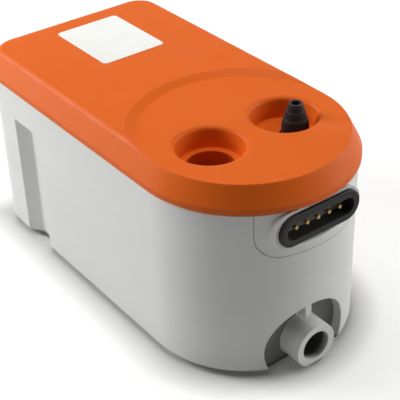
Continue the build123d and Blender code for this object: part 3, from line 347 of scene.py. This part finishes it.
finish = {
    "orange_plastic": moulded("lid_orange", ORANGE, 0.50, wear=0.03, mottle=0.035, gloss=0.18),
    # the grey tank carries painted shade at its foot, in its pocket and in its inlet bore
    "grey_plastic": moulded("tank_grey", GREY, 0.46, wear=0.15, mottle=0.03, shade_masks=tank_painted_shade),
    "black_plastic": moulded("black_satin", linear((24, 22, 21)), 0.48, wear=0.04, mottle=0.10, gloss=0.20),
    "dark_grey_plastic": moulded("dark_grey_satin", linear((88, 88, 92)), 0.45, mottle=0.06),
    "insert_grey": moulded("insert_grey", linear((128, 122, 120)), 0.50, mottle=0.08),
    "rubber": rubber("black_rubber", linear((34, 33, 32))),
    "steel": metal("plated_steel", linear((186, 188, 190)), 0.34),
    "copper": wound_copper("wound_copper"),
    "brass": metal("turned_brass", linear((184, 152, 90)), 0.42),
    "float_foam": foam("float_foam"),
    "valve_white": moulded("valve_white", linear((226, 226, 222)), 0.22, grain_strength=0.03, wear=0.0),
}
special = {"stator_core": laminated("laminated_steel")}
slots = {part["node"]: part["material_slot"] for part in frame["record"]["subparts"]}

for name, obj in nodes.items():
    obj.data.materials.clear()
    obj.data.materials.append(special.get(name) or finish[slots[name]])


# ---------------------------------------------------------------- sticker on the lid
CORNER_STEPS = 6


def rounded_sheet(name, x0, x1, y0, y1, z, thickness, radius, material):
    """A thin sheet with rounded corners, lying flat with its underside at z."""
    mesh = bpy.data.meshes.new(name)
    bm = bmesh.new()
    ring = []
    for cx, cy, start in ((x1 - radius, y1 - radius, 0), (x0 + radius, y1 - radius, 90),
                          (x0 + radius, y0 + radius, 180), (x1 - radius, y0 + radius, 270)):
        for step in range(CORNER_STEPS + 1):
            a = math.radians(start + 90 * step / CORNER_STEPS)
            ring.append(bm.verts.new((cx + radius * math.cos(a), cy + radius * math.sin(a), z)))
    face = bm.faces.new(ring)
    lifted = bmesh.ops.extrude_face_region(bm, geom=[face])
    top = [v for v in lifted["geom"] if isinstance(v, bmesh.types.BMVert)]
    bmesh.ops.translate(bm, verts=top, vec=(0, 0, thickness))
    bmesh.ops.recalc_face_normals(bm, faces=bm.faces)
    bm.to_mesh(mesh)
    bm.free()
    obj = bpy.data.objects.new(name, mesh)
    bpy.context.scene.collection.objects.link(obj)
    mesh.materials.append(material)
    return obj


def paper(name):
    """Matt white film with a faint tint and fine tooth."""
    m = Nodes(name)
    tooth = m.noise(900.0, 3.0, 0.6)
    age = m.noise(28.0, 4.0, 0.6)
    m.link(m.mix(m.remap(age, 0.35, 0.7, 0.0, 1.0), linear((247, 248, 244)), linear((238, 239, 233))),
           m.shader.inputs["Base Color"])
    m.shader.inputs["Roughness"].default_value = 0.48
    m.relief([(tooth, 0.10, 0.00005)])
    return m.material


LID_TOP = 0.118
STICKER_X = (-0.0960, -0.0440)
STICKER_Y = (-0.0175, 0.0235)
STICKER_THICKNESS = 0.00018
STICKER_CORNER = 0.0025
sticker = rounded_sheet("bare_sticker", *STICKER_X, *STICKER_Y, LID_TOP, STICKER_THICKNESS,
                        STICKER_CORNER, paper("sticker_film"))
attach(sticker, "lid")


# ---------------------------------------------------------------- check valve spring
def shortening_spring(node):
    """A copy of the spring with a mesh of its own, hung on the spring's body while the spring itself is
    hidden.
    """
    spring = bpy.data.objects.new(node + "_coil", nodes[node].data.copy())
    bpy.context.scene.collection.objects.link(spring)
    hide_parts(node)
    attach(spring, nodes[node]["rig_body"])
    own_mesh(spring)


shortening_spring("valve_spring")

# ---------------------------------------------------------------- floor, light, camera
FLOOR_HALF = 6.0
floor_mesh = bpy.data.meshes.new("floor")
bm = bmesh.new()
bmesh.ops.create_grid(bm, x_segments=1, y_segments=1, size=FLOOR_HALF)
bm.to_mesh(floor_mesh)
bm.free()
floor = bpy.data.objects.new("floor", floor_mesh)
bpy.context.scene.collection.objects.link(floor)

# The tank's plan, in metres: a rectangle whose front is a half circle
HALF_WIDTH = 0.0585
NOSE_CENTRE = 0.0560
REAR = 0.1145
# The floor's own light: held low right next to the tank, a painted shade round its foot, and full further
# out
GLOW_IN_PAINTED_SHADE = 0.05
GLOW_FAR = 0.45
PAINTED_SHADE_REACH = 0.018
# Where the lamps fall off and the floor's own light takes over
FADE_START = 0.15
FADE_END = 1.30


def number(tree, operation, a, b=0.0):
    """One step of arithmetic on two values or sockets."""
    node = tree.nodes.new("ShaderNodeMath")
    node.operation = operation
    for socket, value in zip(node.inputs, (a, b)):
        if isinstance(value, float):
            socket.default_value = value
        else:
            tree.links.new(value, socket)
    return node.outputs[0]


def ranged(tree, value, start, end, to_start, to_end):
    node = tree.nodes.new("ShaderNodeMapRange")
    for key, setting in (("From Min", start), ("From Max", end), ("To Min", to_start), ("To Max", to_end)):
        node.inputs[key].default_value = setting
    tree.links.new(value, node.inputs["Value"])
    return node.outputs["Result"]


def seen_or_mirrored(tree):
    """1 where the camera or a reflection looks at the surface, with the light path's sockets."""
    rays = tree.nodes.new("ShaderNodeLightPath").outputs
    return number(tree, "MAXIMUM", rays["Is Camera Ray"], rays["Is Glossy Ray"]), rays


def distance_from_tank(tree):
    """How far a point of the floor lies outside the tank's plan."""
    place = tree.nodes.new("ShaderNodeTexCoord")
    parts = tree.nodes.new("ShaderNodeSeparateXYZ")
    tree.links.new(place.outputs["Object"], parts.inputs[0])
    x, y = parts.outputs["X"], parts.outputs["Y"]
    ahead = number(tree, "MAXIMUM", number(tree, "SUBTRACT", x, NOSE_CENTRE))
    squares = number(tree, "ADD", number(tree, "POWER", ahead, 2.0), number(tree, "MULTIPLY", y, y))
    beside = number(tree, "SUBTRACT", number(tree, "SQRT", squares), HALF_WIDTH)
    behind = number(tree, "SUBTRACT", number(tree, "MULTIPLY", x, -1.0), REAR)
    sides = [number(tree, "POWER", number(tree, "MAXIMUM", side), 2.0) for side in (beside, behind)]
    return number(tree, "SQRT", number(tree, "ADD", *sides))


def emptied(owner):
    """The owner's node tree, switched on and cleared."""
    owner.use_nodes = True
    owner.node_tree.nodes.clear()
    return owner.node_tree


floor_material = bpy.data.materials.new("floor_white")
tree = emptied(floor_material)
output = tree.nodes.new("ShaderNodeOutputMaterial")
both = tree.nodes.new("ShaderNodeAddShader")
matte = tree.nodes.new("ShaderNodeBsdfDiffuse")
matte.inputs["Color"].default_value = (0.64, 0.635, 0.625, 1.0)
glow = tree.nodes.new("ShaderNodeEmission")
seen, _ = seen_or_mirrored(tree)
gap = distance_from_tank(tree)
# painted shade: the floor's glow is weak beside the tank and rises over a short reach
glow_round_painted_shade = ranged(tree, gap, 0.0, PAINTED_SHADE_REACH, GLOW_IN_PAINTED_SHADE, GLOW_FAR)
far_light = ranged(tree, gap, FADE_START, FADE_END, 0.0, 1.0 - GLOW_FAR)
level = number(tree, "MULTIPLY", seen, number(tree, "ADD", glow_round_painted_shade, far_light))
tree.links.new(level, glow.inputs["Strength"])
tree.links.new(matte.outputs[0], both.inputs[0])
tree.links.new(glow.outputs[0], both.inputs[1])
tree.links.new(both.outputs[0], output.inputs["Surface"])
floor_mesh.materials.append(floor_material)

# What lights the object, and the white that the camera and reflections see
WORLD_LIGHT = ((1.0, 0.99, 0.98, 1.0), 0.06)
WORLD_SEEN = ((0.985, 0.975, 0.96, 1.0), 1.0)
world = bpy.data.worlds.new("studio")
bpy.context.scene.world = world
tree = emptied(world)
output = tree.nodes.new("ShaderNodeOutputWorld")
choose = tree.nodes.new("ShaderNodeMixShader")
for socket, (colour, strength) in zip(choose.inputs[1:], (WORLD_LIGHT, WORLD_SEEN)):
    background = tree.nodes.new("ShaderNodeBackground")
    background.inputs["Color"].default_value = colour
    background.inputs["Strength"].default_value = strength
    tree.links.new(background.outputs[0], socket)
seen, rays = seen_or_mirrored(tree)
tree.links.new(number(tree, "MAXIMUM", seen, rays["Is Transmission Ray"]), choose.inputs["Fac"])
tree.links.new(choose.outputs[0], output.inputs["Surface"])


def softbox(name, place, size, power):
    """A square area lamp that faces the middle of the pump."""
    lamp = bpy.data.lights.new(name, "AREA")
    lamp.shape = "SQUARE"
    lamp.size = size
    lamp.energy = power
    obj = bpy.data.objects.new(name, lamp)
    bpy.context.scene.collection.objects.link(obj)
    direction = Vector(LAMP_TARGET) - Vector(place)
    obj.location = place
    obj.rotation_euler = direction.to_track_quat("-Z", "Y").to_euler()


LAMP_TARGET = (0.0, 0.0, 0.06)
softbox("key_left", (-0.75, -0.62, 0.50), 0.40, 8.4)
softbox("top", (-0.12, -0.05, 1.50), 0.8, 10.4)
softbox("fill_right", (0.62, 1.10, 0.50), 0.6, 9.3)

# The camera: sensor in mm, picture and focal length in pixels, angles in degrees, places in metres
SENSOR = 36.0
PICTURE_WIDTH = 400.0
FOCAL_PIXELS = 1073.5
CAMERA_ANGLES = (53.89, 33.68, -2.02)
CAMERA_TARGET = (0.01665, 0.0004, 0.05089)
CAMERA_DISTANCE = 0.6017
camera_data = bpy.data.cameras.new("camera")
camera_data.sensor_width = SENSOR
camera_data.lens = SENSOR * FOCAL_PIXELS / PICTURE_WIDTH
camera_data.clip_start = 0.01
camera = bpy.data.objects.new("camera", camera_data)
bpy.context.scene.collection.objects.link(camera)
azimuth, elevation, roll = (math.radians(v) for v in CAMERA_ANGLES)
back = Vector((math.sin(azimuth) * math.cos(elevation), -math.cos(azimuth) * math.cos(elevation),
               math.sin(elevation)))
right = Vector((math.cos(azimuth), math.sin(azimuth), 0.0))
up = back.cross(right)
turned_right = right * math.cos(roll) + up * math.sin(roll)
turned_up = up * math.cos(roll) - right * math.sin(roll)
spot = Vector(CAMERA_TARGET) + back * CAMERA_DISTANCE
facing = Matrix((turned_right, turned_up, back)).transposed().to_4x4()
camera.matrix_world = Matrix.Translation(spot) @ facing
bpy.context.scene.camera = camera
bpy.context.scene.view_settings.view_transform = "Standard"
